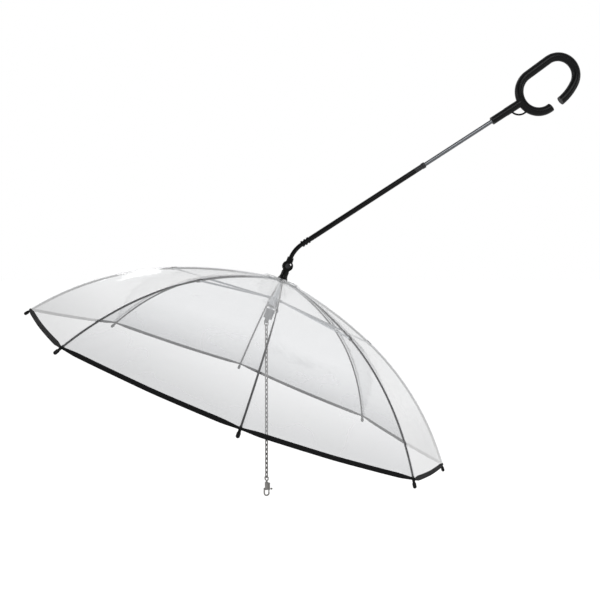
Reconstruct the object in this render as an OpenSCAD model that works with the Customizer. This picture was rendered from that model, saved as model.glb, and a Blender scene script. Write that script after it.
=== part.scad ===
// Clear dome umbrella for a pet: a telescopic stem with an open ring handle, a tilting
// hinge, eight ribs with stretchers, clear film gores and a leash chain with a bolt snap.
// Origin at the middle of the handle sleeve, +Z up, stem and handle in the XZ plane.

/* [Canopy] */
// Radius of the circle that the rib ends lie on
rim_r = 360; // [340:5:380]
// Height of the rib pivots above the rim plane
crown_h = 190; // [185:1:195]
// Radius at which the stretchers meet the ribs
knee_r = 171; // [165:1:175]
// Height of the stretcher pivots on the ribs above the rim plane
knee_h = 145.8; // [143:0.1:148]
// Slope of a rib where the stretcher meets it
knee_slope = 22.5; // [21:0.5:24]
// Number of ribs, stretchers and film gores
ribs = 8; // [8]
// Diameter of a rib
rib_d = 3; // [2.6:0.1:3.2]
// Thickness of the film
film_t = 0.5; // [0.4:0.1:0.8]
// Lean of the canopy axis from the vertical, towards the handle
canopy_lean = 21.2; // [15:0.1:25]

/* [Hub] */
// Radius of the circle of rib pivots in the crown
crown_pivot_r = 9; // [9]
// Radius of the circle of stretcher pivots in the runner
runner_pivot_r = 11.5; // [11.5]
// Height of the stretcher pivots in the runner above the rim plane
runner_h = 158; // [156:1:160]
// Diameter of the centre post
post_d = 7.6; // [7:0.2:7.8]
// Height of the end block's top above the rim plane
block_h = 140; // [138:1:140]
// Diameter of the end block
block_d = 14.5; // [13:0.5:16]

/* [Stem] */
// Angle of the stem above the horizontal
stem_angle = 32.9; // [28:0.1:36]
// Diameter of the thin upper tube
upper_d = 6.8; // [6.8]
// Diameter of the thick lower tube
lower_d = 8.8; // [8.6:0.1:9.4]
// Radial running clearance of the upper tube in the lower tube
slide_gap = 0.1; // [0.05:0.05:0.1]
// Distance down the stem from the grip centre to the top of the tube collar
collar_top = 159; // [150:1:170]
// Length of the tube collar
collar_l = 19; // [15:1:24]
// Distance down the stem from the grip centre to the end of the lower tube
lower_end = 384; // [370:1:390]
// Distance down the stem from the grip centre to the corner of the bend
bend_at = 416.1; // [412:0.1:430]
// Radius of the bend
bend_r = 50; // [46:1:54]
// Diameter of the bent tube
bent_d = 7.3; // [7:0.1:7.4]
// Distance from the corner of the bend to the tilt hinge
neck_l = 29.2; // [28:0.1:32]
// Height of the tilt hinge above the rim plane
hinge_h = 216; // [215:1:220]

/* [Handle] */
// Diameter of the ring grip's rod
grip_d = 14.5; // [13:0.5:16]
// Diameter of the sleeve
sleeve_d = 13; // [12:0.5:14]
// Half of the sleeve's straight length
sleeve_half = 25; // [20:1:27]
// Radius of the grip's lower round end
grip_low_r = 33; // [32:0.5:34]
// Radius of the grip's upper round end
grip_high_r = 30.2; // [29:0.1:31]
// Radius of the grip's open side
grip_side_r = 84; // [70:1:95]

/* [Leash chain] */
// Number of chain links
links = 33; // [33]
// Distance from one link to the next
link_pitch = 7.6; // [7.6:0.1:7.8]
// Diameter of the chain's wire
wire_d = 1.9; // [1.7:0.1:1.9]
// Clearance between one link's wire and the next
link_gap = 0.2; // [0.2:0.05:0.3]

/* [Hidden] */
$fn = 64;

rib_step = 360 / ribs;

// ---- stem frame: distances run along the stem from the grip centre, positive upwards ----
stem_dir = [cos(stem_angle), 0, sin(stem_angle)];
lean_dir = [sin(canopy_lean), 0, cos(canopy_lean)];
bend_corner = -bend_at * stem_dir;
hinge_at = bend_corner - neck_l * lean_dir;
canopy_at = hinge_at - hinge_h * lean_dir;
bend_turn = 90 - canopy_lean - stem_angle;
bend_tangent = bend_r * tan(bend_turn / 2);

module along_stem(s = 0) rotate([0, 90 - stem_angle, 0]) translate([0, 0, s]) children();
module in_canopy() translate(canopy_at) rotate([0, canopy_lean, 0]) children();
module at_rib(i) in_canopy() rotate([0, 0, (i - 1) * rib_step]) children();
// turns a flat figure in the XY plane up into the XZ plane
module upright() rotate([90, 0, 0]) children();

module tube(outer, inner, from, to) translate([0, 0, from]) difference() {
  cylinder(d = outer, h = to - from);
  translate([0, 0, -1]) cylinder(d = inner, h = to - from + 2);
}
// a rod bent round a circle in the XY plane, from one angle to another
module bent_rod(r, from, to, d) rotate([0, 0, from])
  rotate_extrude(angle = to - from, $fn = r > 60 ? 360 : 64) translate([r, 0]) circle(d = d, $fn = 64);

// ---- ring handle ----
// centres of the round ends, in the XZ plane
grip_low = [57.2, 35.8];
grip_high = [90.2, 63.5];
// angle at which the open side leaves the upper end, and how far it turns
side_from = -25;
side_turn = 26;
// angle at which the lower end stops, at the gap
low_stop = 310;
grip_axis = atan2(grip_high.y - grip_low.y, grip_high.x - grip_low.x);
grip_span = norm(grip_high - grip_low);
back_normal = grip_axis + acos((grip_low_r - grip_high_r) / grip_span);
back_l = sqrt(grip_span ^ 2 - (grip_low_r - grip_high_r) ^ 2);
side_centre = grip_high + (grip_high_r - grip_side_r) * [cos(side_from), sin(side_from)];
grip_bore_end = 34;
upper_fit = upper_d + 0.1;

// the back and the open side are a hair thicker than the round ends, and lap over them
lap = 1;
lap_d = 0.16;

module grip_ring(d) upright() {
  translate(grip_low) bent_rod(grip_low_r, back_normal, low_stop, d);
  translate(grip_low + grip_low_r * [cos(back_normal), sin(back_normal)])
    rotate([0, 0, back_normal - 90]) translate([-lap, 0, 0]) rotate([0, 90, 0])
      cylinder(d = d + lap_d, h = back_l + 2 * lap);
  translate(grip_high) bent_rod(grip_high_r, side_from, back_normal, d);
  translate(side_centre) bent_rod(grip_side_r, side_from - side_turn, side_from + lap, d + lap_d);
}

module c_handle() color("#141414") difference() {
  grip_ring(grip_d);
  along_stem(grip_bore_end - 14) cylinder(d = upper_fit, h = 14);
}

// the sleeve is a plain round bar for a clamp up to the start of its thicker socket
socket_from = 3;
socket_d = sleeve_d + 0.6;

module handle_sleeve() color("#171717") difference() {
  union() {
    along_stem() tube(sleeve_d, upper_fit, -sleeve_half, socket_from + 2);
    along_stem() tube(socket_d, upper_fit, socket_from, 31);
  }
  upright() translate(grip_low) bent_rod(grip_low_r, 180, 250, grip_d + 0.1);
}

// a small bow under the sleeve that a wrist cord ties to
module lanyard_eye() color("#101010") difference() {
  upright() translate([24, 15]) bent_rod(17.5, 219, 321, 3);
  along_stem(-5) cylinder(d = socket_d + 0.1, h = 40);
  upright() translate(grip_low) bent_rod(grip_low_r, 180, 260, grip_d + 0.1);
}

// ---- telescopic stem ----
upper_end = collar_top + collar_l + 24;
bushing_l = 10;
bushing_plug_d = upper_d - 1.4;

module upper_tube() color("#55585c") along_stem()
  tube(upper_d, bushing_plug_d, -upper_end, grip_bore_end - 0.5);

// a plastic bush on the upper tube's inner end, which steadies it in the lower tube
module tube_bushing() color("#262626") along_stem(-upper_end - bushing_l) {
  cylinder(d = upper_d + 2 * slide_gap - 0.1, h = bushing_l - 0.05);
  cylinder(d = bushing_plug_d - 0.1, h = bushing_l + 12);
}

module lower_tube() color("#101010") along_stem()
  tube(lower_d, upper_d + 2 * slide_gap, -lower_end, -collar_top - collar_l);

module tube_collar() color("#1c1c1e") along_stem() {
  tube(lower_d + 1.2, upper_d + 2 * slide_gap, -collar_top - 5, -collar_top);
  tube(lower_d, upper_d + 2 * slide_gap, -collar_top - collar_l, -collar_top - 5);
}

ring_pitch = 5.6;
rings = 3;
ribbed_l = rings * ring_pitch;
spigot_l = 14;
bent_fit = bent_d + 0.2;

module ribbed_collar() color("#0e0e0e") along_stem(-lower_end - ribbed_l) difference() {
  union() {
    cylinder(d = lower_d - 0.4, h = ribbed_l);
    for (k = [0 : rings - 1]) translate([0, 0, k * ring_pitch]) cylinder(d = lower_d + 1.8, h = 3);
    cylinder(d = upper_d, h = ribbed_l + spigot_l);
  }
  translate([0, 0, -1]) cylinder(d = bent_fit, h = ribbed_l - 1);
}

// the middle of the bend, in the XZ plane
bend_start = bend_corner - bend_tangent * lean_dir;
bend_end = bend_corner + bend_tangent * stem_dir;
bend_centre = bend_end + bend_r * [sin(stem_angle), 0, -cos(stem_angle)];
bent_wall = 0.8;
fork_neck = 8.2;
fork_top = 15;

// a ring section; the straight ends are a hair thicker than the bend, and lap over it
module bent_section(more) difference() {
  circle(d = bent_d + more);
  circle(d = bent_d - 2 * bent_wall - more);
}

module bent_tube() color("#2a2b2d") {
  translate(bend_centre) upright() rotate([0, 0, 90 + stem_angle])
    rotate_extrude(angle = bend_turn) translate([bend_r, 0]) bent_section(0);
  translate(bend_end - lap * stem_dir) rotate([0, 90 - stem_angle, 0])
    linear_extrude(bend_at - bend_tangent - lower_end - 2.2 + lap) bent_section(lap_d / 2);
  translate(hinge_at + 10 * lean_dir) rotate([0, canopy_lean, 0])
    linear_extrude(neck_l - bend_tangent - 10 + lap) bent_section(lap_d / 2);
}

// ---- tilt hinge ----
tongue_half = 3;
cheek_in = 3.1;
cheek_out = 6.3;
knuckle_r = 8.8;
tongue_r = 7.5;
pin_d = 4;
sight_hole = [3.6, 3.4];

module at_hinge() translate(hinge_at) rotate([0, canopy_lean, 0]) children();
module cross_pin(r, from, to) rotate([-90, 0, 0]) translate([0, 0, from]) cylinder(r = r, h = to - from);

module hinge_fork() color("#121212") at_hinge() difference() {
  union() {
    cross_pin(knuckle_r, -cheek_out, cheek_out);
    translate([-5.2, -cheek_out, 0]) cube([10.4, 2 * cheek_out, 12]);
    translate([0, 0, fork_neck]) cylinder(d = 10.6, h = fork_top - fork_neck);
  }
  translate([-20, -cheek_in, -20]) cube([40, 2 * cheek_in, 20 + fork_neck]);
  translate([0, 0, 9.9]) cylinder(d = bent_fit, h = 20);
  cross_pin(pin_d / 2 + 0.05, -20, 20);
  translate([sight_hole.x, 0, sight_hole.y]) cross_pin(1.6, -20, 20);
}

module hinge_pin() color("#3a3c3f") at_hinge() {
  cross_pin(pin_d / 2, -cheek_out - 0.1, cheek_out + 1.4);
  cross_pin(4.2, -cheek_out - 2, -cheek_out - 0.05);
  cross_pin(3.4, cheek_out + 0.05, cheek_out + 2.4);
}

flange_h = 193.3;
neck_top = hinge_h - 9.4;

module ferrule() color("#121212") in_canopy() difference() {
  union() {
    rotate_extrude() polygon([
      [0, flange_h], [8.2, flange_h], [8.2, flange_h + 1.4], [6.9, flange_h + 3.4],
      [6.2, flange_h + 6.5], [6.2, neck_top], [0, neck_top]]);
    translate([-5.5, -tongue_half, neck_top - 1]) cube([11, 2 * tongue_half, 10.4]);
    translate([0, 0, hinge_h]) cross_pin(tongue_r, -tongue_half, tongue_half);
  }
  translate([0, 0, flange_h - 1]) cylinder(d = post_d + 0.1, h = 10);
  translate([0, 0, hinge_h]) cross_pin(pin_d / 2 + 0.05, -20, 20);
  translate([sight_hole.x, 0, hinge_h + sight_hole.y]) cross_pin(1.6, -20, 20);
}

// ---- crown ----
crown_r = 13.5;
crown_wire_d = 1.2;
crown_low = crown_h - 2.8;
crown_high = crown_h + 2.1;
slot_half = rib_d / 2 + 0.3;

module wire_ring(d) translate([0, 0, crown_h]) rotate_extrude()
  translate([crown_pivot_r, 0]) circle(d = d);

module crown_notch() color("#8b9096") in_canopy() difference() {
  translate([0, 0, crown_low]) cylinder(r = crown_r, h = crown_high - crown_low);
  translate([0, 0, crown_low - 1]) cylinder(d = post_d + 0.1, h = 10);
  for (i = [1 : ribs]) rotate([0, 0, (i - 1) * rib_step])
    translate([5.9, -slot_half, crown_low - 1]) cube([10, 2 * slot_half, 10]);
  wire_ring(crown_wire_d + 0.1);
}

module crown_wire() color("#a9adb2") in_canopy() wire_ring(crown_wire_d);

block_low = block_h - 16;
post_low = block_low + 5;
post_high = flange_h + 8.5;

module centre_post() color("#9aa0a6") in_canopy() tube(post_d, post_d - 2.4, post_low, post_high);

// ---- end block with the chain's eye ----
chain_eye_h = block_low - 4.5;
eye_half = 1.5;

// angle of the eye and of every other link about the chain, from the XZ plane
chain_yaw = 45;
flutes = 6;

module end_block() color("#7e858c") in_canopy() difference() {
  union() {
    translate([0, 0, block_low]) cylinder(d = block_d, h = block_h - block_low);
    rotate([0, 0, chain_yaw]) translate([-3.6, -eye_half, chain_eye_h]) cube([7.2, 2 * eye_half, 6]);
    translate([0, 0, chain_eye_h]) rotate([0, 0, chain_yaw]) cross_pin(3.6, -eye_half, eye_half);
  }
  translate([0, 0, post_low - 0.1]) cylinder(d = post_d + 0.1, h = 20);
  translate([0, 0, chain_eye_h]) rotate([0, 0, chain_yaw]) cross_pin(2, -20, 20);
  for (i = [1 : flutes]) rotate([0, 0, i * 360 / flutes])
    translate([block_d / 2 + 0.5, 0, block_low + 2.5]) cylinder(r = 1.3, h = block_h - block_low - 5);
}

// ---- runner ----
runner_bore = post_d + 0.2;
strip_in = rib_d / 2 + 0.25;
strip_out = strip_in + 0.7;
runner_slot = strip_out + 0.3;
runner_ring_r = 13.6;
runner_top = runner_h + 2.2;
stub_d = 1.6;

module runner() color("#c3c7cb") in_canopy() {
  difference() {
    union() {
      tube(12.6, runner_bore, runner_h - 15, runner_top);
      translate([0, 0, runner_h - 2.6]) cylinder(r = runner_ring_r, h = runner_top - runner_h + 2.6);
    }
    translate([0, 0, runner_h - 20]) cylinder(d = runner_bore, h = 40);
    for (i = [1 : ribs]) rotate([0, 0, (i - 1) * rib_step])
      translate([9, -runner_slot, runner_h - 4]) cube([20, 2 * runner_slot, 8]);
  }
  for (i = [1 : ribs]) rotate([0, 0, (i - 1) * rib_step]) translate([runner_pivot_r, 0, runner_h]) {
    cross_pin(stub_d / 2, strip_in - 0.15, runner_slot + 0.2);
    cross_pin(stub_d / 2, -runner_slot - 0.2, -strip_in + 0.15);
  }
}

module runner_band() color("#3c4046") in_canopy() tube(16.6, 12.7, runner_h - 15, runner_h - 11);

// ---- ribs: two arcs that meet smoothly at the stretcher pivot ----
// direction out of a rib's upper side where it slopes down by s
function out_of(s) = [sin(s), cos(s)];
rib_start = [crown_pivot_r, crown_h];
rib_knee = [knee_r, knee_h];
rib_end = [rim_r, 0];
function fall(a, b) = atan2(a.y - b.y, b.x - a.x);
start_slope = 2 * fall(rib_start, rib_knee) - knee_slope;
end_slope = 2 * fall(rib_knee, rib_end) - knee_slope;
inner_r = norm(rib_knee - rib_start) / (2 * sin((knee_slope - start_slope) / 2));
outer_r = norm(rib_end - rib_knee) / (2 * sin((end_slope - knee_slope) / 2));
inner_centre = rib_start - inner_r * out_of(start_slope);
outer_centre = rib_knee - outer_r * out_of(knee_slope);

// how far the thinner outer arc reaches back into the knee block, as an angle
knee_lap = 0.25;

module rib(i) color("#2b2b2e") at_rib(i) difference() {
  union() {
    translate([inner_centre.x, 0, inner_centre.y]) upright()
      bent_rod(inner_r, 90 - knee_slope, 90 - start_slope, rib_d);
    translate([outer_centre.x, 0, outer_centre.y]) upright()
      bent_rod(outer_r, 90 - end_slope, 90 - knee_slope + knee_lap, rib_d - 0.1);
    translate([crown_pivot_r, 0, crown_h]) cross_pin(1.9, -1.2, 1.2);
    translate([knee_r, 0, knee_h]) rotate([0, knee_slope, 0])
      translate([-4.5, -1.6, -2.3]) cube([9, 3.2, 4.4]);
  }
  translate([crown_pivot_r, 0, crown_h]) cross_pin(crown_wire_d / 2 + 0.2, -5, 5);
}

// a thin sleeve under the film's edge, then a thicker rounded head past it
tip_back = 4.5;
tip_sleeve_d = 4;
tip_head_from = 5;
tip_head_l = 4.8;
tip_head_d = 5.4;

module tip(i) color("#0f0f0f") at_rib(i) translate([rim_r, 0, 0])
  rotate([0, 90 + end_slope, 0]) translate([0, 0, -tip_back]) difference() {
    union() {
      cylinder(d = tip_sleeve_d, h = tip_back + tip_head_from + 1);
      translate([0, 0, tip_back + tip_head_from]) cylinder(d = tip_head_d, h = tip_head_l);
      translate([0, 0, tip_back + tip_head_from + tip_head_l]) sphere(d = tip_head_d);
    }
    translate([0, 0, -1]) cylinder(d = rib_d + 0.2, h = tip_back + 1.1);
  }

// ---- stretchers: channels whose two walls straddle the rib ----
stretch_l = norm([knee_r - runner_pivot_r, knee_h - runner_h]);
stretch_slope = atan2(runner_h - knee_h, knee_r - runner_pivot_r);
strip_half = 1.2;
runner_eye_r = 1.9;
knee_eye_r = 1.5;
web_from = 40;
web_to = stretch_l - 38;

module stretcher(i) color("#77797d") at_rib(i) translate([runner_pivot_r, 0, runner_h])
  rotate([0, stretch_slope, 0]) difference() {
    union() {
      for (side = [-1, 1]) {
        low = side > 0 ? strip_in : -strip_out;
        high = low + strip_out - strip_in;
        cross_pin(runner_eye_r, low, high);
        translate([0, low, -strip_half]) cube([stretch_l, high - low, 2 * strip_half]);
        translate([stretch_l, 0, 0]) cross_pin(knee_eye_r, low, high);
        translate([stretch_l, 0, 0]) cross_pin(1.1, side > 0 ? high - 0.1 : low - 0.5, side > 0 ? high + 0.5 : low + 0.1);
      }
      translate([web_from, -strip_out, -strip_half]) cube([web_to - web_from, 2 * strip_out, 0.6]);
    }
    cross_pin(stub_d / 2 + 0.08, -5, 5);
  }

// ---- film gores: one on each rib, as wide as half a panel on both sides ----
film_lift = rib_d / 2 + 0.7;
film_gap = 0.15;
film_steps = 8;
film_past = 4;
film_top = crown_h + 2.35;
// slope at the film's edge, which passes the rib's end over the tip's sleeve
film_slope_end = end_slope + film_past / outer_r * 180 / PI;

function along(a, b, k) = a + (b - a) * k;
// film profile point at a given slope, lifted off the rib by d
function film_inner(s, d) = inner_centre + (inner_r + d) * out_of(s);
function film_outer(s, d) = outer_centre + (outer_r + d) * out_of(s);
function film_profile(d) = concat(
  [[5, film_top + d - film_lift], [14, film_top + d - film_lift]],
  [for (k = [1 : film_steps]) film_inner(along(start_slope + 1.6, knee_slope, k / film_steps), d)],
  [for (k = [1 : film_steps + 2])
    film_outer(along(knee_slope, film_slope_end, k / (film_steps + 2)), d)]);

// a film point across the gore: k = 0 on the rib, -1 or 1 at the middle of a panel
function across(p, k) = let (
    half = p.x * sin(rib_step / 2),
    share = k * (1 - film_gap / half),
    mid = p.x * [(1 + cos(rib_step)) / 2 - 1, sin(rib_step) / 2])
  [p.x + abs(share) * mid.x, share * mid.y, p.y];

module gore(i) color([0.93, 0.95, 0.97, 0.35]) at_rib(i) {
  low = film_profile(film_lift);
  high = film_profile(film_lift + film_t);
  rows = len(low);
  points = concat(
    [for (p = low) for (k = [-1 : 1]) across(p, k)],
    [for (p = high) for (k = [-1 : 1]) across(p, k)]);
  top = 3 * rows;
  polyhedron(points, concat(
    [for (r = [0 : rows - 2]) for (c = [0 : 1])
      [3 * r + c, 3 * r + c + 1, 3 * r + c + 4, 3 * r + c + 3]],
    [for (r = [0 : rows - 2]) for (c = [0 : 1])
      [top + 3 * r + c, top + 3 * r + c + 3, top + 3 * r + c + 4, top + 3 * r + c + 1]],
    [for (r = [0 : rows - 2]) [3 * r, 3 * r + 3, top + 3 * r + 3, top + 3 * r]],
    [for (r = [0 : rows - 2]) [3 * r + 2, top + 3 * r + 2, top + 3 * r + 5, 3 * r + 5]],
    [for (c = [0 : 1]) [c, top + c, top + c + 1, c + 1]],
    [for (c = [0 : 1]) [3 * rows - 3 + c, 3 * rows - 2 + c, top + 3 * rows - 2 + c, top + 3 * rows - 3 + c]]));
}

// ---- leash chain, hanging straight down from the end block's eye ----
chain_at = canopy_at + chain_eye_h * lean_dir;
ring_r = 4;
reach = wire_d + link_gap;
link_half = (link_pitch + reach) / 2;
link_bend = reach;
first_link = -2 * ring_r + reach - link_half;
function link_z(k) = first_link - k * link_pitch;
// the first link of each chain section, and one past the last link
section_starts = [0, 8, 17, 26, links];

module chain_ring() color("#b9bbbd") translate(chain_at + [0, 0, -ring_r])
  rotate([0, 90, chain_yaw]) rotate_extrude() translate([ring_r, 0]) circle(d = wire_d);

// an oval link, each a quarter turn from the one above it
module link(k) translate([0, 0, link_z(k)]) rotate([0, 0, chain_yaw + k % 2 * 90]) {
  for (end = [-1, 1]) translate([0, 0, end * (link_half - link_bend)]) upright()
    bent_rod(link_bend, end > 0 ? 0 : 180, end > 0 ? 180 : 360, wire_d);
  for (side = [-1, 1]) translate([side * link_bend, 0, link_bend - link_half])
    cylinder(d = wire_d, h = 2 * (link_half - link_bend));
}

module chain(n) color("#b4b6b8") translate(chain_at)
  for (k = [section_starts[n - 1] : section_starts[n] - 1]) link(k);

// ---- bolt snap ----
eye_wire = 2.2;
eye_r = 3.6;
snap_top = link_z(links - 1) - link_half + wire_d / 2 + eye_wire / 2 + link_gap - eye_r;
barrel_top = snap_top - eye_r - 2.4;
barrel_r = 3;
barrel_l = 13;
hook_x = 3.8;
hook_wire = 2.6;
hook_z = barrel_top - barrel_l - 5.6;
bolt_r = 1.1;
bolt_travel = 5;
stem_r = 1.3;
head_r = 2.1;
swivel_gap = 0.08;

module snap_eye() color("#a9abad") translate(chain_at) {
  translate([0, 0, snap_top]) rotate([0, 90, chain_yaw]) rotate_extrude() translate([eye_r, 0]) circle(d = eye_wire);
  translate([0, 0, barrel_top - 3]) cylinder(r = stem_r, h = 5);
  translate([0, 0, barrel_top - 4]) cylinder(r = head_r, h = 1.6);
}

module snap_hook() color("#8d8f91") translate(chain_at) difference() {
  union() {
    translate([0, 0, barrel_top - barrel_l]) cylinder(r = barrel_r, h = barrel_l);
    translate([hook_x, 0, barrel_top - barrel_l]) cylinder(r = 2.1, h = barrel_l - 1.5);
    translate([-hook_x, 0, hook_z]) cylinder(d = hook_wire, h = barrel_top - barrel_l - hook_z + 3);
    translate([0, 0, hook_z]) upright() bent_rod(hook_x, 180, 360, hook_wire);
    translate([hook_x, 0, hook_z]) cylinder(d = hook_wire, h = 1.2);
  }
  translate([0, 0, barrel_top - 4 - swivel_gap]) cylinder(r = head_r + swivel_gap, h = 1.6 + 2 * swivel_gap);
  translate([0, 0, barrel_top - 3]) cylinder(r = stem_r + swivel_gap, h = 6);
  translate([hook_x, 0, barrel_top - barrel_l - 1]) cylinder(r = bolt_r + 0.08, h = barrel_l - 1.5);
  translate([hook_x, -0.8, barrel_top - barrel_l - 1]) cube([5, 1.6, barrel_l - 2.5]);
}

module snap_bolt() color("#9c9ea0") translate(chain_at + [hook_x, 0, 0]) {
  translate([0, 0, hook_z + 1.4]) cylinder(r = bolt_r, h = barrel_top - barrel_l + 3 - hook_z - 1.4);
  translate([0, 0, barrel_top - barrel_l + 1.5]) rotate([0, 90, 0]) cylinder(r = 0.6, h = 4);
  translate([4.4, 0, barrel_top - barrel_l + 1.5]) sphere(r = 1.7);
}

// the bolt's spring, a plain sleeve as long as the coil is at rest
module snap_spring() color("#c8cacc") translate(chain_at + [hook_x, 0, 0])
  tube(2 * bolt_r - 0.1, 1.2, barrel_top - barrel_l + 3.1, barrel_top - 2.6);

c_handle();
handle_sleeve();
lanyard_eye();
upper_tube();
tube_bushing();
lower_tube();
tube_collar();
ribbed_collar();
bent_tube();
hinge_fork();
hinge_pin();
ferrule();
crown_notch();
crown_wire();
centre_post();
end_block();
runner();
runner_band();
chain_ring();
for (n = [1 : 4]) chain(n);
snap_eye();
snap_hook();
snap_bolt();
snap_spring();
for (i = [1 : ribs]) rib(i);
for (i = [1 : ribs]) tip(i);
for (i = [1 : ribs]) stretcher(i);
for (i = [1 : ribs]) gore(i);
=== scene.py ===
"""Looks for the clear dome umbrella with a leash chain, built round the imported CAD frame.

Everything is in metres in the frame that the CAD shares. Sizes that repeat part.scad carry
its names.
"""

import math

import bpy
from mathutils import Matrix, Vector, noise


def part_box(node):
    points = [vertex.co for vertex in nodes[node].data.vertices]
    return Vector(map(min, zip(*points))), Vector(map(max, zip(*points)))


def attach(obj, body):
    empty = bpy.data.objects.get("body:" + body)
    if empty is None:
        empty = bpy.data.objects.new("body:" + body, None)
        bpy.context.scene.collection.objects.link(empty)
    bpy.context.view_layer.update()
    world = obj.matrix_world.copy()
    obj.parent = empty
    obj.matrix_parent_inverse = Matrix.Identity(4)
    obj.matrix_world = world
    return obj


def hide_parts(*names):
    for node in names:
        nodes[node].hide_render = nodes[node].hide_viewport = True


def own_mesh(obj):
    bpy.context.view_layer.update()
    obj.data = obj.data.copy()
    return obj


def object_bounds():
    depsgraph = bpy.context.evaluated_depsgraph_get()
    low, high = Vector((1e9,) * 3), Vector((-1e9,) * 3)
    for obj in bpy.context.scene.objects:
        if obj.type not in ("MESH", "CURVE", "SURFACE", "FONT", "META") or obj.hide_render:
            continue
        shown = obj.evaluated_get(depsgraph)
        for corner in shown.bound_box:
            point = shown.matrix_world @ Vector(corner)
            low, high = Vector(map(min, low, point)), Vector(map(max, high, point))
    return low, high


MM = 0.001

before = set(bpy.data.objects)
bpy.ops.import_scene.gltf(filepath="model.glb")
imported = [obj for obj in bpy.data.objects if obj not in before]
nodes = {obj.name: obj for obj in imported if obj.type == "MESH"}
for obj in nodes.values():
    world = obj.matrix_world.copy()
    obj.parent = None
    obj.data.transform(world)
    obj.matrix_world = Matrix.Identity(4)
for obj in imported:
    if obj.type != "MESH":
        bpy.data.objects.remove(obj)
cad_low, cad_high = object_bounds()

# ---------------------------------------------------------------- sizes from part.scad

RIBS = 8
RIB_STEP = math.tau / RIBS
STEM_ANGLE = math.radians(32.9)
CANOPY_LEAN = math.radians(21.2)
BEND_AT, NECK_L, HINGE_H = 416.1 * MM, 29.2 * MM, 216 * MM
RIM_R, CROWN_H = 360 * MM, 190 * MM
KNEE_R, KNEE_H = 171 * MM, 145.8 * MM
KNEE_SLOPE = math.radians(22.5)
CROWN_PIVOT_R = 9 * MM
RIB_D = 3 * MM

KNEE = Vector((KNEE_R, KNEE_H))
CROWN_PIVOT = Vector((CROWN_PIVOT_R, CROWN_H))

stem_dir = Vector((math.cos(STEM_ANGLE), 0, math.sin(STEM_ANGLE)))
lean_dir = Vector((math.sin(CANOPY_LEAN), 0, math.cos(CANOPY_LEAN)))
hinge_at = -BEND_AT * stem_dir - NECK_L * lean_dir
canopy_at = hinge_at - HINGE_H * lean_dir
canopy = Matrix.Translation(canopy_at) @ Matrix.Rotation(CANOPY_LEAN, 4, "Y")


def at_rib(i):
    """The canopy's frame turned so that +X runs out along rib i, counted from 1."""
    return canopy @ Matrix.Rotation((i - 1) * RIB_STEP, 4, "Z")


# ---------------------------------------------------------------- mesh helpers


def mesh_piece(name, points, faces, material, uv=None):
    """A mesh object, smooth but for end caps of more than four corners. uv is (u, v) for each point."""
    mesh = bpy.data.meshes.new(name)
    mesh.from_pydata([tuple(p) for p in points], [], faces)
    rims = set()
    for polygon in mesh.polygons:
        polygon.use_smooth = len(polygon.vertices) <= 4
        if not polygon.use_smooth:
            rims.update(polygon.edge_keys)
    for edge in mesh.edges:
        edge.use_edge_sharp = edge.key in rims
    if uv is not None:
        layer = mesh.uv_layers.new(name="UVMap")
        for loop in mesh.loops:
            layer.data[loop.index].uv = uv[loop.vertex_index]
    mesh.materials.append(material)
    piece = bpy.data.objects.new(name, mesh)
    bpy.context.scene.collection.objects.link(piece)
    return piece


def grid_faces(rows, columns, closed=False):
    """Quads of a grid of points stored row by row. closed joins the last column to the first."""
    last = columns if closed else columns - 1
    return [
        (
            r * columns + c,
            r * columns + (c + 1) % columns,
            (r + 1) * columns + (c + 1) % columns,
            (r + 1) * columns + c,
        )
        for r in range(rows - 1)
        for c in range(last)
    ]


# ---------------------------------------------------------------- the ribs' curve


def out_of(slope):
    """Direction out of a rib's upper side where it falls by slope."""
    return Vector((math.sin(slope), math.cos(slope)))


def fall(a, b):
    """Slope of the straight line that falls from a to b."""
    return math.atan2(a.y - b.y, b.x - a.x)


rib_end = Vector((RIM_R, 0))
start_slope = 2 * fall(CROWN_PIVOT, KNEE) - KNEE_SLOPE
end_slope = 2 * fall(KNEE, rib_end) - KNEE_SLOPE
inner_r = (KNEE - CROWN_PIVOT).length / (2 * math.sin((KNEE_SLOPE - start_slope) / 2))
outer_r = (rib_end - KNEE).length / (2 * math.sin((end_slope - KNEE_SLOPE) / 2))
inner_centre = CROWN_PIVOT - inner_r * out_of(start_slope)
outer_centre = KNEE - outer_r * out_of(KNEE_SLOPE)
inner_arc = inner_r * (KNEE_SLOPE - start_slope)
rib_arc = inner_arc + outer_r * (end_slope - KNEE_SLOPE)


def rib_curve(s, lift=0.0):
    """(radius, height) at arc length s from the crown pivot, lifted off the rib, and the slope there."""
    if s < inner_arc:
        slope = start_slope + s / inner_r
        return inner_centre + (inner_r + lift) * out_of(slope), slope
    slope = KNEE_SLOPE + (s - inner_arc) / outer_r
    return outer_centre + (outer_r + lift) * out_of(slope), slope


# ---------------------------------------------------------------- materials


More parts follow.
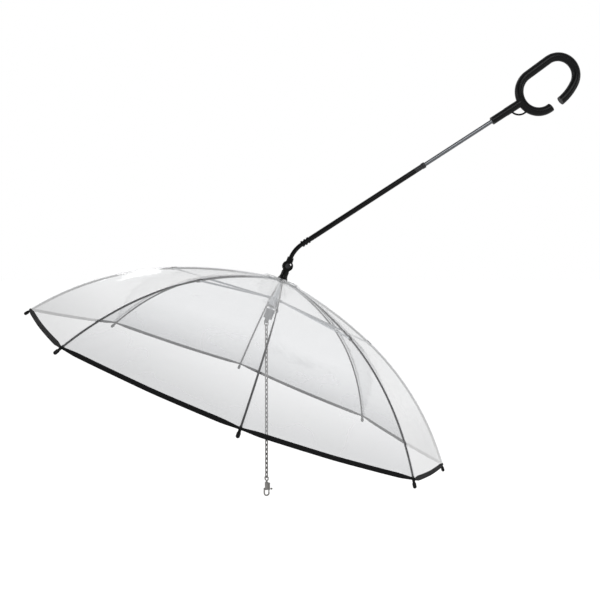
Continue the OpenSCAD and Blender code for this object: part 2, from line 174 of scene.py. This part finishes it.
class Nodes:
    """A material's node tree, built with short calls."""

    def __init__(self, name):
        self.material = bpy.data.materials.new(name)
        self.material.use_nodes = True
        self.tree = self.material.node_tree
        self.tree.nodes.clear()
        self.out = self.add("ShaderNodeOutputMaterial")

    def add(self, kind, **settings):
        """A new node, with its own settings."""
        made = self.tree.nodes.new(kind)
        for key, value in settings.items():
            setattr(made, key, value)
        return made

    def feed(self, socket, value):
        """Links value to socket if it is an output, and sets it if it is a number or colour."""
        if isinstance(value, bpy.types.NodeSocket):
            self.tree.links.new(value, socket)
        elif value is not None:
            socket.default_value = value

    def shader(self, **inputs):
        """A Principled shader. An input's name has _ for each space."""
        made = self.add("ShaderNodeBsdfPrincipled")
        for key, value in inputs.items():
            self.feed(made.inputs[key.replace("_", " ")], value)
        return made.outputs[0]

    def place(self, kind="Object", scale=(1, 1, 1)):
        """Texture coordinates, scaled."""
        mapping = self.add("ShaderNodeMapping")
        mapping.inputs["Scale"].default_value = scale
        self.feed(mapping.inputs[0], self.add("ShaderNodeTexCoord").outputs[kind])
        return mapping.outputs[0]

    def noise(self, place, scale, detail=2.0, roughness=0.5, distortion=0.0):
        """Soft noise from 0 to 1, finer as scale grows."""
        made = self.add("ShaderNodeTexNoise")
        for key, value in (
            ("Vector", place),
            ("Scale", scale),
            ("Detail", detail),
            ("Roughness", roughness),
            ("Distortion", distortion),
        ):
            self.feed(made.inputs[key], value)
        return made.outputs["Fac"]

    def spread(self, value, low, high, to_low, to_high):
        """Stretches value from low..high to to_low..to_high, and stops at the ends."""
        made = self.add("ShaderNodeMapRange", clamp=True)
        for key, x in (
            ("Value", value),
            ("From Min", low),
            ("From Max", high),
            ("To Min", to_low),
            ("To Max", to_high),
        ):
            self.feed(made.inputs[key], x)
        return made.outputs[0]

    def maths(self, what, a, b=0.0):
        """One operation on two numbers or outputs."""
        made = self.add("ShaderNodeMath", operation=what)
        self.feed(made.inputs[0], a)
        self.feed(made.inputs[1], b)
        return made.outputs[0]

    def colours(self, share, low, high):
        """A mix of two colours, each one (r, g, b) or an output."""
        made = self.add("ShaderNodeMix", data_type="RGBA")
        self.feed(made.inputs["Factor"], share)
        for socket, colour in ((made.inputs[6], low), (made.inputs[7], high)):
            self.feed(socket, (*colour, 1) if isinstance(colour, tuple) else colour)
        return made.outputs[2]

    def bump(self, height, distance, strength=1.0):
        """A normal that follows height, where 1 stands distance high."""
        made = self.add("ShaderNodeBump")
        made.inputs["Strength"].default_value = strength
        made.inputs["Distance"].default_value = distance
        self.feed(made.inputs["Height"], height)
        return made.outputs[0]

    def mixed(self, share, a, b):
        """A mix of two shaders, share of it b."""
        made = self.add("ShaderNodeMixShader")
        self.feed(made.inputs[0], share)
        self.feed(made.inputs[1], a)
        self.feed(made.inputs[2], b)
        return made.outputs[0]

    def done(self, shader):
        """The finished material."""
        self.feed(self.out.inputs[0], shader)
        return self.material


def moulded(name, low, high, rough, grain=0.0004, depth=0.00002, coat=0.0, shine=0.13):
    """Moulded plastic: a fine spark-eroded grain, and polished or dulled patches."""
    n = Nodes(name)
    place = n.place()
    fine = n.noise(place, 1 / grain, 2)
    patches = n.noise(place, 45, 3, 0.6)
    return n.done(
        n.shader(
            Base_Color=n.colours(patches, low, high),
            Roughness=n.spread(patches, 0.3, 0.7, rough - 0.06, rough + 0.06),
            Normal=n.bump(fine, depth, 0.5),
            Coat_Weight=coat,
            Coat_Roughness=0.12,
            Specular_IOR_Level=shine,
        )
    )


def drawn_metal(name, low, high, rough, scratch=0.3, metal=1.0, streak=(900, 900, 60)):
    """Plated or drawn metal: fine scratches along the piece and faint tarnish."""
    n = Nodes(name)
    tarnish = n.noise(n.place(), 160, 3, 0.65)
    lines = n.noise(n.place(scale=streak), 1, 3, 0.6)
    return n.done(
        n.shader(
            Base_Color=n.colours(tarnish, low, high),
            Metallic=metal,
            Roughness=n.spread(tarnish, 0.25, 0.75, rough - 0.07, rough + 0.09),
            Normal=n.bump(lines, 0.00002, scratch),
        )
    )


def canopy_height(n):
    """Height above the rim plane, from a piece's own coordinates."""
    mapping = n.add("ShaderNodeMapping")
    mapping.inputs["Rotation"].default_value = (0, -CANOPY_LEAN, 0)
    mapping.inputs["Location"].default_value = canopy.inverted().translation
    n.feed(mapping.inputs[0], n.add("ShaderNodeTexCoord").outputs["Object"])
    split = n.add("ShaderNodeSeparateXYZ")
    n.feed(split.inputs[0], mapping.outputs[0])
    return split.outputs[2]


# canopy heights between which the ribs turn from black to the lighter grey of a painted glare, and the
# film from a painted grey shade at the rim to clear
GLARE_FROM, GLARE_TO = 175 * MM, 182 * MM
GREY_RIM_TO, CLEAR_FROM = 10 * MM, 80 * MM
# the film is clear within the first distance of a rib, and fully hazy past the second
CLEAR_BESIDE_RIB, HAZY_PAST = 2.0 * MM, 6 * MM
# share of light that clear plastic mirrors face on
FACE_ON = 0.04
YARN_ALONG, YARN_ACROSS = 0.6 * MM, 0.5 * MM


def rib_material():
    """A rib: black glass fibre, with a painted glare that turns it a lighter, metallic grey near the
    crown.
    """
    n = Nodes("rib_finish")
    fibres = n.noise(n.place(scale=(700, 700, 700)), 1, 3, 0.6)
    patches = n.noise(n.place(), 60, 3, 0.6)
    # painted glare: the rib's colour turns a lighter, metallic grey near the crown
    crown_glare = n.spread(canopy_height(n), GLARE_FROM, GLARE_TO, 0.0, 1.0)
    black = n.colours(patches, (0.003, 0.003, 0.004), (0.010, 0.010, 0.011))
    return n.done(
        n.shader(
            Base_Color=n.colours(crown_glare, black, (0.20, 0.21, 0.22)),
            Roughness=n.spread(patches, 0.3, 0.7, 0.34, 0.46),
            Metallic=n.maths("MULTIPLY", crown_glare, 0.8),
            Normal=n.bump(fibres, 0.00002, 0.35),
            Specular_IOR_Level=0.12,
        )
    )


def film_material(name, haze, crinkle, painted_rim_shade, tint):
    """Clear PVC: two glossy faces over a cloudy grey sheet, with painted shade that greys it towards the
    rim, and clear over the ribs.
    """
    n = Nodes(name)
    place = n.place()
    swirl = n.noise(place, 9, 2, 0.5, 0.6)
    creases = n.noise(n.place(scale=(1, 1, 0.55)), 42, 3, 0.55, 1.4)
    ripple = n.noise(place, 130, 2, 0.5, 0.3)
    height = n.maths(
        "ADD",
        n.maths("MULTIPLY", creases, n.spread(swirl, 0.46, 0.66, 0.12, 1.0)),
        n.maths("MULTIPLY", ripple, 0.08),
    )
    normal = n.bump(height, 0.0016 * crinkle, 0.5)
    facing = n.add("ShaderNodeLayerWeight")
    facing.inputs["Blend"].default_value = 0.5
    n.feed(facing.inputs["Normal"], normal)
    # Schlick's rule for one face of the sheet, then the light that both faces mirror
    steep = n.maths("POWER", facing.outputs["Facing"], 5.0)
    one = n.maths("ADD", n.maths("MULTIPLY", steep, 1 - FACE_ON), FACE_ON)
    both = n.maths("DIVIDE", n.maths("MULTIPLY", one, 2.0), n.maths("ADD", one, 1.0))
    clear = n.add("ShaderNodeBsdfTransparent")
    # painted shade: the film's see-through colour is darker towards the rim
    rise = n.spread(canopy_height(n), GREY_RIM_TO, CLEAR_FROM, 0.0, 1.0)
    rim = (painted_rim_shade, painted_rim_shade + 0.003, painted_rim_shade + 0.01)
    n.feed(clear.inputs["Color"], n.colours(rise, rim, (tint, tint + 0.003, tint + 0.01)))
    gloss = n.add("ShaderNodeBsdfGlossy")
    gloss.inputs["Roughness"].default_value = 0.07
    n.feed(gloss.inputs["Normal"], normal)
    cloud = n.shader(
        Base_Color=(0.86, 0.87, 0.88, 1), Roughness=0.35, Specular_IOR_Level=0.3
    )
    from_rib = n.add("ShaderNodeSeparateXYZ")
    n.feed(from_rib.inputs[0], n.place("UV"))
    beside = n.spread(from_rib.outputs[0], CLEAR_BESIDE_RIB, HAZY_PAST, 0.1, 1.0)
    haze_share = n.maths("MULTIPLY", n.spread(swirl, 0.3, 0.75, haze * 0.8, haze * 1.3), beside)
    return n.done(
        n.mixed(both, n.mixed(haze_share, clear.outputs[0], cloud), gloss.outputs[0])
    )


def tape_material():
    """Black woven edge tape."""
    n = Nodes("edge_tape")
    uv = n.add("ShaderNodeSeparateXYZ")
    n.feed(uv.inputs[0], n.place("UV"))
    along, across = uv.outputs[0], uv.outputs[1]
    ribs = n.maths("SINE", n.maths("MULTIPLY", along, math.tau / YARN_ALONG))
    yarns = n.maths("SINE", n.maths("MULTIPLY", across, math.tau / YARN_ACROSS))
    weave = n.maths("MULTIPLY", ribs, yarns)
    fuzz = n.noise(n.place(), 1500, 2)
    return n.done(
        n.shader(
            Base_Color=n.colours(fuzz, (0.003, 0.003, 0.003), (0.010, 0.010, 0.011)),
            Roughness=0.72,
            Normal=n.bump(weave, 0.00008, 0.7),
            Specular_IOR_Level=0.06,
        )
    )


BLACK = (0.001, 0.001, 0.001)
SOFT_BLACK = (0.004, 0.004, 0.0045)
grip_black = moulded("grip_black", BLACK, SOFT_BLACK, 0.34, 0.0007, 0.00004)
plastic_black = moulded("plastic_black", BLACK, SOFT_BLACK, 0.26)
tube_black = moulded("tube_black", BLACK, SOFT_BLACK, 0.24, 0.0009, 0.00001)
collar_grey = moulded("collar_grey", (0.02, 0.02, 0.022), (0.035, 0.035, 0.038), 0.3)
tube_grey = drawn_metal("tube_grey", (0.10, 0.105, 0.11), (0.13, 0.135, 0.145), 0.24, 0.06)
pin_steel = drawn_metal("pin_steel", (0.03, 0.03, 0.032), (0.06, 0.06, 0.063), 0.32)
hub_plastic = moulded("hub_plastic", (0.02, 0.023, 0.028), (0.05, 0.055, 0.065), 0.4)
runner_plastic = moulded("runner_plastic", (0.36, 0.38, 0.41), (0.46, 0.48, 0.51), 0.4)
band_plastic = moulded("band_plastic", (0.03, 0.034, 0.04), (0.05, 0.055, 0.06), 0.4)
hub_steel = drawn_metal("hub_steel", (0.32, 0.34, 0.37), (0.45, 0.47, 0.5), 0.3)
stretcher_steel = drawn_metal("stretcher_steel", (0.24, 0.25, 0.27), (0.34, 0.36, 0.38), 0.36)
chain_steel = drawn_metal("chain_steel", (0.05, 0.048, 0.045), (0.30, 0.29, 0.28), 0.18)
snap_steel = drawn_metal("snap_steel", (0.10, 0.097, 0.09), (0.30, 0.29, 0.28), 0.2)
rib_black = rib_material()
film = film_material("film", haze=0.22, crinkle=1.0, painted_rim_shade=0.62, tint=0.9)
welt = film_material("welt", haze=0.02, crinkle=0.3, painted_rim_shade=0.98, tint=0.98)
tape = tape_material()

FINISHES = {
    "c_handle": grip_black,
    "handle_sleeve": grip_black,
    "lanyard_eye": plastic_black,
    "upper_tube": tube_grey,
    "tube_bushing": plastic_black,
    "lower_tube": tube_black,
    "tube_collar": collar_grey,
    "ribbed_collar": plastic_black,
    "bent_tube": tube_black,
    "hinge_fork": plastic_black,
    "hinge_pin": pin_steel,
    "ferrule": plastic_black,
    "crown_notch": hub_plastic,
    "crown_wire": hub_steel,
    "centre_post": hub_steel,
    "end_block": hub_plastic,
    "runner": runner_plastic,
    "runner_band": band_plastic,
    "chain": chain_steel,
    "snap": snap_steel,
    "rib": rib_black,
    "tip": plastic_black,
    "stretcher": stretcher_steel,
}

for name, node in nodes.items():
    finish = FINISHES.get(name) or FINISHES.get(name.split("_")[0])
    if finish:
        node.data.materials.clear()
        node.data.materials.append(finish)

# ---------------------------------------------------------------- film, welts and edge tape

# the film is one thin sheet, within the thickness of part.scad's gores
SHEET_LIFT = RIB_D / 2 + 0.75 * MM
SHEET_TOP = CROWN_H + 2.6 * MM
FILM_FROM = 5 * MM
# the sheet lies flat on the crown until the rib has fallen this much further
FLAT_TURN = math.radians(1.6)
# rows along the rib, and columns on each side of it, closer together near the rib
FILM_ROWS, FILM_HALF = 76, 16
FILM_CROWDING, TAPE_CROWDING = 1.5, 1.6
SAG, SAG_FULLNESS = 5 * MM, 0.8
RIM_BOW = 3 * MM
# waves in the sheet: their height, the distance from the crown where they are full, and per metre
WAVE, WAVE_FULL_AT, WAVES = 0.5 * MM, 0.1, 14

TAPE_AT_RIB, TAPE_WIDE = 4 * MM, 7.4 * MM
TAPE_THICK, TAPE_AROUND = 1.0 * MM, 16
# shares of half a panel over which the tape widens, and over which it is thicker on the rib
TAPE_WIDENS, TAPE_WRAPS = 0.22, 0.05
TAPE_WRAP = 0.5 * MM
# the film stops this far inside the tape's outer edge
FILM_INSIDE_TAPE = 1 * MM

WELT_ROWS, WELT_HALF = 70, 4
WELT_WIDE, WELT_HIGH, WELT_CLEAR = 2.2 * MM, 0.5 * MM, 0.12 * MM
WELT_END = 3 * MM


def smooth(x):
    """Eases from 0 to 1 as x runs from 0 to 1."""
    x = min(max(x, 0.0), 1.0)
    return x * x * (3 - 2 * x)


def tape_width(k):
    """Width of the tape, narrow where it wraps a rib. k is 0 on the rib and 1 in mid panel."""
    return TAPE_AT_RIB + (TAPE_WIDE - TAPE_AT_RIB) * smooth(abs(k) / TAPE_WIDENS)


def tape_middle(k):
    """Arc length of the tape's middle line, which bows outwards between the ribs."""
    return rib_arc + RIM_BOW * math.sin(abs(k) * math.pi / 2)


def film_point(s, k):
    """A film point: s along the rib, k from -1 to 1 between the middles of the two panels."""
    if s < inner_r * FLAT_TURN:
        point, slope = Vector((CROWN_PIVOT.x + s, SHEET_TOP)), 0.0
    else:
        point, slope = rib_curve(s, SHEET_LIFT)
    share = abs(k)
    x = point.x * (1 + share * ((1 + math.cos(RIB_STEP)) / 2 - 1))
    y = point.x * k * math.sin(RIB_STEP) / 2
    # a stretched panel curves inwards between its ribs
    reach = math.sin(math.pi * min(max(s / rib_arc, 0), 1)) ** SAG_FULLNESS
    sag = SAG * reach * share * (2 - share)
    middle = math.copysign(RIB_STEP / 2, k)
    out = out_of(slope)
    inward = Vector((-out.x * math.cos(middle), -out.x * math.sin(middle), -out.y))
    return Vector((x, y, point.y)) + sag * inward


def film_normal(s, k):
    """Direction out of the film's upper side at a film point, near enough."""
    out = out_of(rib_curve(max(s, 0), 0)[1])
    turn = k * RIB_STEP / 2
    return Vector((out.x * math.cos(turn), out.x * math.sin(turn), out.y))


def slack(place, s, k):
    """Waves in the film, the same for the two gores that meet at a place."""
    return WAVE * abs(k) * min(max(s, 0) / WAVE_FULL_AT, 1) * noise.noise(place * WAVES)


def make_gore(i):
    """The film on rib i, from the middle of one panel to the middle of the next."""
    to_frame = at_rib(i)
    columns = 2 * FILM_HALF + 1
    first = FILM_FROM - CROWN_PIVOT.x
    points, uv = [], []
    for r in range(FILM_ROWS):
        for c in range(columns):
            t = (c - FILM_HALF) / FILM_HALF
            k = math.copysign(abs(t) ** FILM_CROWDING, t)
            last = tape_middle(k) + tape_width(k) / 2 - FILM_INSIDE_TAPE
            s = first + (last - first) * r / (FILM_ROWS - 1)
            place = to_frame @ film_point(s, k)
            place += slack(place, s, k) * lean_dir
            points.append(place)
            uv.append((abs(k) * film_point(s, 0).x * math.sin(RIB_STEP / 2), s))
    piece = mesh_piece(f"film_{i}", points, grid_faces(FILM_ROWS, columns), film, uv)
    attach(piece, f"rib_arm_{i}")
    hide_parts(f"gore_{i}")
    return piece


def fold_with(piece):
    """Gives a gore's piece a mesh of its own."""
    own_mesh(piece)


def make_welt(i):
    """The welded seam that holds the film's two panels over a rib."""
    to_frame = at_rib(i)
    columns = 2 * WELT_HALF + 1
    points, uv = [], []
    for r in range(WELT_ROWS):
        s = (rib_arc - WELT_END) * r / (WELT_ROWS - 1)
        radius = film_point(s, 0).x
        for c in range(columns):
            t = (c - WELT_HALF) / WELT_HALF
            k = t * WELT_WIDE / (radius * math.sin(RIB_STEP / 2))
            lift = WELT_CLEAR + WELT_HIGH * (1 - t * t)
            points.append(to_frame @ (film_point(s, k) + lift * film_normal(s, 0)))
            uv.append((abs(t) * WELT_WIDE, s))
    piece = mesh_piece(f"welt_{i}", points, grid_faces(WELT_ROWS, columns), welt, uv)
    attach(piece, f"rib_arm_{i}")
    return piece


def make_tape(i):
    """The black tape folded over the film's edge, from the middle of one panel to the next."""
    to_frame = at_rib(i)
    around, steps = TAPE_AROUND, 3 * FILM_HALF
    points, uv = [], []
    for c in range(steps + 1):
        t = 2 * c / steps - 1
        k = math.copysign(abs(t) ** TAPE_CROWDING, t)
        width, middle = tape_width(k), tape_middle(k)
        wrap = TAPE_WRAP * (1 - smooth(abs(k) / TAPE_WRAPS))
        for j in range(around):
            turn = math.tau * j / around
            s = middle + width / 2 * math.cos(turn)
            off = (TAPE_THICK / 2 + wrap) * math.sin(turn)
            local = film_point(s, k) + off * film_normal(s, k)
            place = to_frame @ local
            points.append(place + slack(to_frame @ film_point(s, k), s, k) * lean_dir)
            uv.append((k * local.x * math.sin(RIB_STEP / 2), width / 2 * math.cos(turn)))
    faces = grid_faces(steps + 1, around, closed=True)
    faces += [tuple(range(around)), tuple(steps * around + j for j in reversed(range(around)))]
    piece = mesh_piece(f"edge_tape_{i}", points, faces, tape, uv)
    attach(piece, f"rib_arm_{i}")
    return piece


for i in range(1, RIBS + 1):
    gore, seam, edge = make_gore(i), make_welt(i), make_tape(i)
    for piece in (gore, seam, edge):
        fold_with(piece)

# ---------------------------------------------------------------- the bolt's spring

COIL_R, WIRE_R = 0.82 * MM, 0.2 * MM
COIL_TURNS, STEPS_PER_TURN, WIRE_SIDES = 8, 20, 8

spring_low, spring_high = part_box("snap_spring")


def make_spring():
    """A wire coil in place of the spring's plain solid, riding on the snap's body."""
    centre = (spring_low + spring_high) / 2
    length = spring_high.z - spring_low.z
    around, steps = WIRE_SIDES, STEPS_PER_TURN * COIL_TURNS
    points = []
    for k in range(steps + 1):
        a = math.tau * COIL_TURNS * k / steps
        out = Vector((math.cos(a), math.sin(a), 0))
        z = spring_low.z + WIRE_R + (length - 2 * WIRE_R) * k / steps
        for j in range(around):
            b = math.tau * j / around
            points.append(
                Vector((centre.x, centre.y, z))
                + out * (COIL_R + WIRE_R * math.cos(b))
                + Vector((0, 0, WIRE_R * math.sin(b)))
            )
    faces = grid_faces(steps + 1, around, closed=True)
    faces += [tuple(reversed(range(around))), tuple(steps * around + j for j in range(around))]
    piece = mesh_piece("snap_coil", points, faces, snap_steel)
    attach(piece, "snap_body")
    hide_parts("snap_spring")
    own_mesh(piece)


make_spring()

# ---------------------------------------------------------------- camera, light and floor

CAMERA_FROM_RIM = Vector((0.6, -1435.7, 199.8)) * MM
CAMERA_LOOKS = Vector((0.068, 0.997, -0.0376))
LENS_MM, SENSOR_MM = 52.6, 36

forward = CAMERA_LOOKS.normalized()
right = forward.cross(Vector((0, 0, 1))).normalized()
up = right.cross(forward)
lens = bpy.data.cameras.new("photo_camera")
lens.lens, lens.sensor_width = LENS_MM, SENSOR_MM
camera = bpy.data.objects.new("photo_camera", lens)
camera.matrix_world = Matrix.Translation(canopy_at + CAMERA_FROM_RIM) @ Matrix(
    (right, up, -forward)
).transposed().to_4x4()
bpy.context.scene.collection.objects.link(camera)
bpy.context.scene.camera = camera
bpy.context.scene.view_settings.view_transform = "Standard"


def soft_light(name, place, aim, size, watts):
    """A square soft box at place that shines at aim and that the camera doesn't see."""
    data = bpy.data.lights.new(name, "AREA")
    data.shape, data.size, data.energy = "SQUARE", size, watts
    lamp = bpy.data.objects.new(name, data)
    lamp.location = place
    lamp.rotation_mode = "QUATERNION"
    lamp.rotation_quaternion = (Vector(aim) - Vector(place)).to_track_quat("-Z", "Y")
    lamp.visible_camera = False
    bpy.context.scene.collection.objects.link(lamp)


# each lamp's name, place from the part's middle, size and watts
LAMPS = (
    ("front", (0.5, -2.2, 1.5), 1.3, 26),
    ("back", (-0.95, 1.8, 1.85), 1.1, 9),
    ("left", (-2.4, -0.6, 0.5), 1.0, 14),
    ("right", (2.3, -1.1, 0.5), 0.8, 9),
)

middle = (cad_low + cad_high) / 2
for name, from_middle, size, watts in LAMPS:
    soft_light(name, middle + Vector(from_middle), middle, size, watts)

# the room is dim behind the camera and bright beyond the part, and the camera sees it plain white
ROOM = {"From Min": -0.5, "From Max": 0.4, "To Min": 0.22, "To Max": 1.05}
ROOM_SEEN = 1.0


def make_world():
    """A plain white studio that lights the part and shows in its reflections."""
    world = bpy.data.worlds.new("studio")
    world.use_nodes = True
    links, made = world.node_tree.links, world.node_tree.nodes
    background = made["Background"]
    coordinates = made.new("ShaderNodeTexCoord")
    split = made.new("ShaderNodeSeparateXYZ")
    share = made.new("ShaderNodeMapRange")
    paths = made.new("ShaderNodeLightPath")
    seen = made.new("ShaderNodeMix")
    links.new(coordinates.outputs["Generated"], split.inputs[0])
    links.new(split.outputs["Y"], share.inputs["Value"])
    for key, value in ROOM.items():
        share.inputs[key].default_value = value
    links.new(paths.outputs["Is Camera Ray"], seen.inputs["Factor"])
    links.new(share.outputs[0], seen.inputs[2])
    seen.inputs[3].default_value = ROOM_SEEN
    links.new(seen.outputs[0], background.inputs["Strength"])
    background.inputs["Color"].default_value = (1, 1, 1, 1)
    bpy.context.scene.world = world


make_world()

FLOOR_R, FLOOR_SIDES = 30, 96
# the canopy swings lower than it hangs at rest
FLOOR_DROP = 100 * MM


def make_floor():
    """A wide pale disc under the part, which glows enough to look nearly white."""
    z = cad_low.z - FLOOR_DROP
    n = Nodes("floor")
    mottle = n.noise(n.place(), 0.6, 2)
    paint = n.done(
        n.shader(
            Base_Color=n.colours(mottle, (0.26, 0.26, 0.26), (0.30, 0.30, 0.30)),
            Roughness=0.9,
            Emission_Color=(1, 1, 1, 1),
            Emission_Strength=0.8,
        )
    )
    ring = [
        Vector((middle.x + FLOOR_R * math.cos(a), middle.y + FLOOR_R * math.sin(a), z))
        for a in (math.tau * k / FLOOR_SIDES for k in range(FLOOR_SIDES))
    ]
    mesh_piece("floor", ring, [tuple(range(FLOOR_SIDES))], paint)


make_floor()
